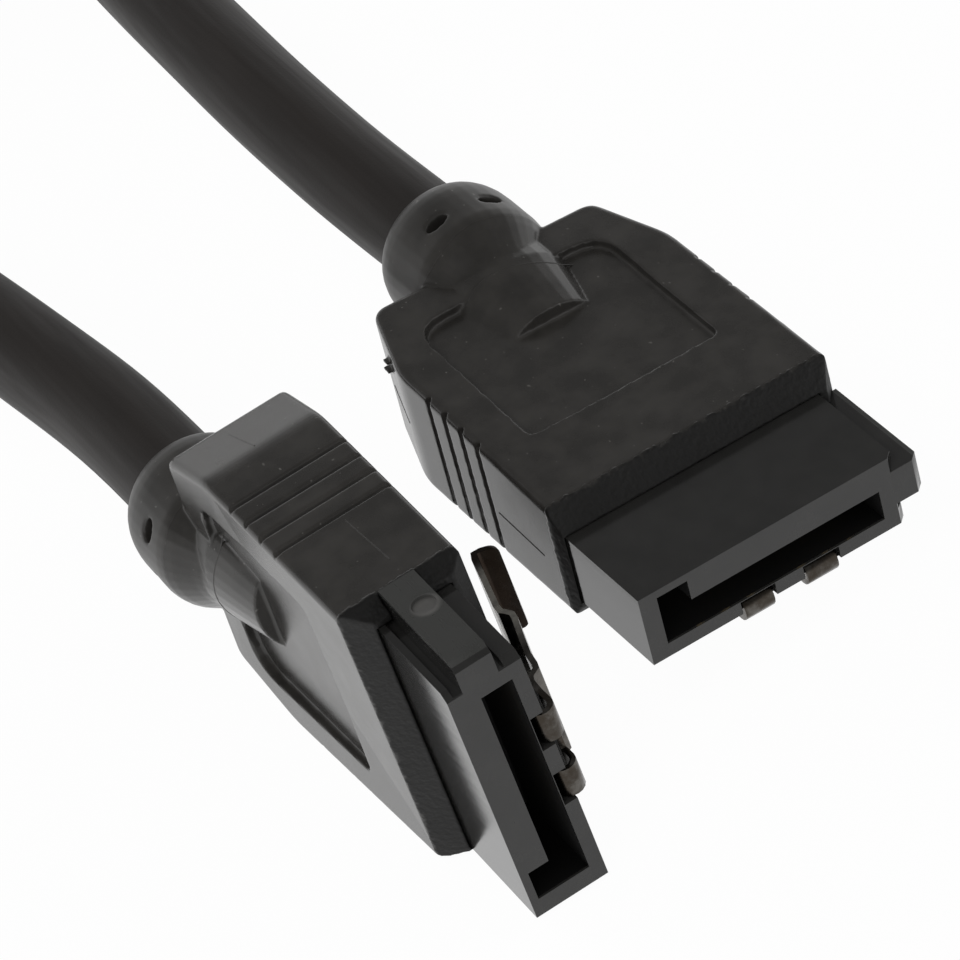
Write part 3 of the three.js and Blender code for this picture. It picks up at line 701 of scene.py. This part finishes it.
def cut_hollow(piece, letter):
    """Cuts the housing's seat, the chamber and the cord's bore out of a filled skin."""
    place = plug_matrix(letter)
    for name, (add, sizes) in HOLLOW.items():
        work = bmesh.new()
        add(work, place, *sizes)
        bmesh.ops.recalc_face_normals(work, faces=work.faces)
        cutter = add_piece(name, bpy.data.meshes.new(name))
        work.to_mesh(cutter.data)
        work.free()
        cut = piece.modifiers.new(name, "BOOLEAN")
        cut.operation = "DIFFERENCE"
        cut.solver = "EXACT"
        cut.object = cutter
        bake_modifiers(piece)
        bpy.data.objects.remove(cutter)
    print(piece.name, len(piece.data.polygons), "faces")


print("cutters for a hollow:", len(HOLLOW))

# %% [markdown]
# Every finished piece gets one material, rides on one body and hides the frame's solids that it
# stands for. One helper does the three, so none is forgotten.

# %% Finish a piece


def finish_piece(piece, material, body, slot, *nodes):
    piece.data.materials.clear()
    piece.data.materials.append(material)
    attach(piece, body)
    if nodes:
        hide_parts(*nodes)


# %% [markdown]
# ## Bevelled pieces
# The housing and the folded spring are crisper than vinyl. Flat faces are dissolved back into
# single polygons, and a narrow bevel gives each edge a thin line of light. Weighted normals keep
# the large faces flat in the mirror that a glossy surface is.

# %% A bevelled copy of a frame solid
FLAT_ANGLE = 0.6
HOUSING_EDGE = 0.07
LATCH_EDGE = 0.05
CONTACT_EDGE = 0.03
STRAP_EDGE = 0.1


def bevelled_copy(node, name, width_mm, segments=2, angle=32):
    piece = plain_copy(node, name)
    work = bmesh.new()
    work.from_mesh(piece.data)
    flat = math.radians(FLAT_ANGLE)
    bmesh.ops.dissolve_limit(work, angle_limit=flat, verts=work.verts, edges=work.edges)
    work.to_mesh(piece.data)
    work.free()
    bevel = piece.modifiers.new("edges", "BEVEL")
    bevel.width = width_mm * MM
    bevel.segments = segments
    bevel.limit_method = "ANGLE"
    bevel.angle_limit = math.radians(angle)
    bevel.use_clamp_overlap = True
    bevel.miter_outer = "MITER_ARC"
    bake_modifiers(piece)
    piece.data.shade_smooth()
    weights = piece.modifiers.new("flat faces stay flat", "WEIGHTED_NORMAL")
    weights.mode = "FACE_AREA"
    weights.weight = 100
    bake_modifiers(piece)
    print(name, len(piece.data.vertices), "vertices")
    return piece


print("housing edge", HOUSING_EDGE, "mm, latch edge", LATCH_EDGE, "mm")

# %% [markdown]
# ## Rules as Geometry Nodes
# What repeats or follows a line is made by a node tree, because the rule then stays visible and
# its sizes can be changed by name. `Rule` builds a tree with named inputs and runs it on a piece.

# %% A small Geometry Nodes language
SOCKETS = {float: "NodeSocketFloat", int: "NodeSocketInt", Vector: "NodeSocketVector"}


class Rule:
    """A Geometry Nodes tree with one geometry input and a named input for each size."""

    def __init__(self, name, **sizes):
        self.tree = bpy.data.node_groups.new(name, "GeometryNodeTree")
        face = self.tree.interface
        face.new_socket("Geometry", in_out="OUTPUT", socket_type="NodeSocketGeometry")
        face.new_socket("Geometry", in_out="INPUT", socket_type="NodeSocketGeometry")
        self.identifiers = {}
        for label, kind in sizes.items():
            socket = face.new_socket(label, in_out="INPUT", socket_type=SOCKETS[kind])
            self.identifiers[label] = socket.identifier
        self.entry = self.tree.nodes.new("NodeGroupInput")
        self.exit = self.tree.nodes.new("NodeGroupOutput")

    def node(self, kind, settings=None, **inputs):
        made = self.tree.nodes.new(kind)
        for label, value in (settings or {}).items():
            setattr(made, label, value)
        for label, value in inputs.items():
            socket = made.inputs[label.replace("_", " ")]
            if isinstance(value, bpy.types.NodeSocket):
                self.tree.links.new(value, socket)
            else:
                socket.default_value = value
        return made

    def end(self, geometry, material):
        real = self.node("GeometryNodeRealizeInstances", Geometry=geometry)
        painted = self.node("GeometryNodeSetMaterial", Geometry=real.outputs[0], Material=material)
        self.tree.links.new(painted.outputs[0], self.exit.inputs[0])

    def run(self, piece, **sizes):
        """Sets the sizes, applies the tree to the piece and leaves a plain mesh object."""
        modifier = piece.modifiers.new(self.tree.name, "NODES")
        modifier.node_group = self.tree
        for label, value in sizes.items():
            modifier[self.identifiers[label]] = value
        graph = bpy.context.evaluated_depsgraph_get()
        mesh = bpy.data.meshes.new_from_object(piece.evaluated_get(graph))
        name = piece.name
        bpy.data.objects.remove(piece)
        return add_piece(name, mesh)


print("rules ready")

# %% [markdown]
# ## The row of contacts
# A plug has seven equal gold springs side by side. One is copied from the frame and bevelled, a
# mesh line gives the seven places and an instance goes on each.

# %% Contact row
CONTACT_COUNT = 7
CONTACT_PITCH = 1.27

row_rule = Rule("contact_row", Count=int, Step=Vector)
given = row_rule.entry.outputs
line = row_rule.node("GeometryNodeMeshLine", Count=given["Count"], Offset=given["Step"])
row = row_rule.node("GeometryNodeInstanceOnPoints", Points=line.outputs[0], Instance=given["Geometry"])
row_rule.end(row.outputs[0], gold)


def contact_row(letter):
    first = bevelled_copy(f"contact_1_{letter}", f"contact_row_{letter}", CONTACT_EDGE, 1, 30)
    across = plug_matrix(letter).col[1].to_3d()
    return row_rule.run(first, Count=CONTACT_COUNT, Step=across * CONTACT_PITCH * MM)


print("contacts in a row:", CONTACT_COUNT)

# %% [markdown]
# ## Parting lines
# The halves of the tool met along the middle of each narrow side and left a line of flash too
# thin to model in the solid. A curve is laid on the skin point by point, and a node tree sweeps a
# small round profile along it, so half of the bead stands proud. The ends fade into the surface.

# %% Parting beads
BEAD_RADIUS = 0.035
BEAD_SIDES = 8
BEAD_SUNK = 0.3
BEAD_END = 0.3
BEAD_STEP = 0.3
BEADS = {
    "key_side": [(-11.35, 7.4, -0.14), (-9.5, 7.4, -0.23), (-7.72, 7.4, -0.32)],
    "key_corner": [(-18.79, 7.1, 0.35), (-20.0, 6.8, 0.46), (-21.33, 6.5, 0.57)],
    "plain_side": [(-11.35, -6.6, -0.14), (-9.5, -6.6, -0.23), (-7.72, -6.5, -0.32)],
    "plain_corner": [(-18.79, -6.3, 0.35), (-20.0, -6.1, 0.46), (-21.33, -5.8, 0.57)],
    "seam_arc": [
        (-20.21, -2.1, 3.5), (-20.45, -1.3, 4.0), (-20.4, -0.5, 4.3), (-20.2, 0.4, 4.4),
        (-20.0, 1.2, 4.3), (-19.8, 2.1, 4.0), (-19.7, 2.7, 3.7), (-19.75, 3.15, 3.3),
    ],
}


def bead_rule(letter, material):
    rule = Rule(f"bead_along_line_{letter}", Radius=float)
    sizes = rule.entry.outputs
    profile = rule.node("GeometryNodeCurvePrimitiveCircle", Resolution=BEAD_SIDES, Radius=sizes["Radius"])
    swept = rule.node("GeometryNodeCurveToMesh", Curve=sizes["Geometry"],
                      Profile_Curve=profile.outputs[0], Fill_Caps=True)
    rule.end(swept.outputs[0], material)
    return rule


def laid_on(skin, letter, points):
    """Points about every BEAD_STEP along the line, each moved to the nearest place on the skin."""
    place = plug_matrix(letter)
    corners = [vertex.co for vertex in skin.data.vertices]
    surface = BVHTree.FromPolygons(corners, [face.vertices for face in skin.data.polygons])
    laid = []
    for point in smooth_line(points, BEAD_STEP):
        spot, normal, _, _ = surface.find_nearest(place @ point)
        laid.append(spot - normal * (BEAD_SUNK * BEAD_RADIUS * MM))
    return laid


def bead_curves(skin, letter):
    data = bpy.data.curves.new("beads", "CURVE")
    data.dimensions = "3D"
    for points in BEADS.values():
        laid = laid_on(skin, letter, points)
        spline = data.splines.new("POLY")
        spline.points.add(len(laid) - 1)
        for i, spot in enumerate(laid):
            spline.points[i].co = (*spot, 1)
            spline.points[i].radius = BEAD_END if i in (0, len(laid) - 1) else 1.0
    return add_piece(f"parting_lines_{letter}", data)


print("beads on each plug:", len(BEADS))

# %% [markdown]
# ## Dress both plugs
# One pass makes the overmould, the housing, the latch, the contacts and the parting lines of each
# plug. Only the latch rides on a body of its own.

# %% Make the plugs' pieces
for letter in "ab":
    vinyl = overmould_finish(letter)
    overmould = overmould_skin(letter)
    beads = bead_curves(overmould, letter)
    cut_hollow(overmould, letter)
    finish_piece(overmould, vinyl, "cable", "overmould", f"overmould_{letter}")
    beads = bead_rule(letter, vinyl).run(beads, Radius=BEAD_RADIUS * MM)
    finish_piece(beads, vinyl, "cable", "overmould")
    housing = bevelled_copy(f"connector_housing_{letter}", f"housing_shell_{letter}", HOUSING_EDGE)
    nylon = housing_finish(letter)
    finish_piece(housing, nylon, "cable", "connector_housing", f"connector_housing_{letter}")
    latch = bevelled_copy(f"latch_spring_{letter}", f"latch_strip_{letter}", LATCH_EDGE, 2, 25)
    finish_piece(latch, latch_finish(letter), f"latch_{letter}", "latch_spring", f"latch_spring_{letter}")
    contacts = contact_row(letter)
    replaced = [f"contact_{place}_{letter}" for place in range(1, CONTACT_COUNT + 1)]
    finish_piece(contacts, gold, "cable", "contact", *replaced)

# %% [markdown]
# ## Hidden pieces, strap and cord
# The wires and the inner moulds stay as the frame's own solids and only take a finish. The cord
# rides on the cable's body, and its real length is printed.

# %% Finishes of the hidden pieces, the strap and the cord
for name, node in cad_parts.items():
    for start, material in (("drain", tinned), ("signal", wire_blue), ("inner", inner_plastic)):
        if name.startswith(start):
            node.data.materials.clear()
            node.data.materials.append(material)

tie = bevelled_copy("cord_tie", "strap", STRAP_EDGE)
finish_piece(tie, strap_finish(), "cable", "tie", "cord_tie")
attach(cord, "cable")
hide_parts("cord_a", "cord_b", "cord_hank")
print("cord declared,", round(cord_length, 3), "m long")

# %% [markdown]
# ## Floor and light
# The photograph has a pure white ground. Rays from the camera and mirrored rays see the floor as
# white light, mixed with a little of its real shade, so it keeps the object's shadow. Diffuse
# rays see only the plain pale floor.

# %% Floor
FLOOR_HALF = 3.0
FLOOR_Z = -0.0002
floor_mesh = bpy.data.meshes.new("floor")
corners = [(-FLOOR_HALF, -FLOOR_HALF, FLOOR_Z), (FLOOR_HALF, -FLOOR_HALF, FLOOR_Z)]
corners += [(FLOOR_HALF, FLOOR_HALF, FLOOR_Z), (-FLOOR_HALF, FLOOR_HALF, FLOOR_Z)]
floor_mesh.from_pydata(corners, [], [(0, 1, 2, 3)])
floor = add_piece("floor", floor_mesh)
print("floor is", 2 * FLOOR_HALF, "m wide")

# %% White ground
FLOOR_WHITENESS = 0.97

floor_finish = Finish("white_ground", Roughness=0.9)
floor_finish.set("Base Color", (0.8, 0.8, 0.8, 1))
rays = floor_finish.node("LightPath").socket.node.outputs
seen = Value(floor_finish, rays["Is Camera Ray"])
for kind in ("Is Glossy Ray", "Is Transmission Ray"):
    seen = seen.math("MAXIMUM", Value(floor_finish, rays[kind]))
white = floor_finish.node("Emission", {}, (1, 1, 1, 1), 1.0)
blend = floor_finish.node("MixShader", {}, seen * FLOOR_WHITENESS)
tree = floor_finish.tree
tree.links.new(floor_finish.shader.outputs[0], blend.socket.node.inputs[1])
tree.links.new(white.socket, blend.socket.node.inputs[2])
tree.links.new(blend.socket, tree.nodes["Material Output"].inputs["Surface"])
floor.data.materials.append(floor_finish.material)
print("ground white by", FLOOR_WHITENESS)

# %% [markdown]
# ## Sky
# In the photograph every face that mirrors the ground or the horizon is bright, and every face
# that mirrors the space above is dark. So the sky is white at the horizon and dim overhead, and
# the camera itself still sees white.

# %% Sky colours by height
SKY_STOPS = [(0.0, 1.0), (0.18, 0.97), (0.3, 0.45), (0.45, 0.22), (1.0, 0.15)]

world = bpy.data.worlds.new("studio")
bpy.context.scene.world = world
world.use_nodes = True
nodes = world.node_tree.nodes
links = world.node_tree.links
sky = nodes["Background"]
direction = nodes.new("ShaderNodeTexCoord")
split = nodes.new("ShaderNodeSeparateXYZ")
links.new(direction.outputs["Generated"], split.inputs[0])
fall = nodes.new("ShaderNodeValToRGB")
while len(fall.color_ramp.elements) < len(SKY_STOPS):
    fall.color_ramp.elements.new(0.5)
for element, (height, light) in zip(fall.color_ramp.elements, SKY_STOPS):
    element.position = height
    element.color = (light, light, light, 1)
links.new(split.outputs["Z"], fall.inputs[0])
print("sky stops:", len(fall.color_ramp.elements))

# %% White sky for the camera
path = nodes.new("ShaderNodeLightPath")
chosen = nodes.new("ShaderNodeMix")
chosen.data_type = "RGBA"
links.new(path.outputs["Is Camera Ray"], chosen.inputs[0])
links.new(fall.outputs[0], chosen.inputs[6])
chosen.inputs[7].default_value = (1, 1, 1, 1)
links.new(chosen.outputs[2], sky.inputs["Color"])
print("sky nodes:", len(nodes))

# %% [markdown]
# ## Lamps
# Three large lamps light the plugs plainly from above. They are hidden from mirrored rays,
# because the glossy plugs in the photograph show no lamp, only the ground and the dim room.

# %% Lamps


def soft_lamp(name, direction, distance, size, watts):
    data = bpy.data.lights.new(name, "AREA")
    data.shape = "SQUARE"
    data.size = size
    data.energy = watts
    lamp = add_piece(name, data)
    towards = Vector(direction).normalized()
    lamp.location = towards * distance
    lamp.rotation_euler = towards.to_track_quat("Z", "Y").to_euler()
    lamp.visible_glossy = False
    return lamp


soft_lamp("key_lamp", (0.6, -0.4, 0.9), 0.9, 0.5, 4.0)
soft_lamp("side_lamp", (0.3, 0.8, 0.7), 0.9, 0.4, 1.6)
soft_lamp("back_lamp", (-0.8, -0.4, 0.7), 0.9, 0.4, 1.6)
print("lamps:", len(bpy.data.lights))
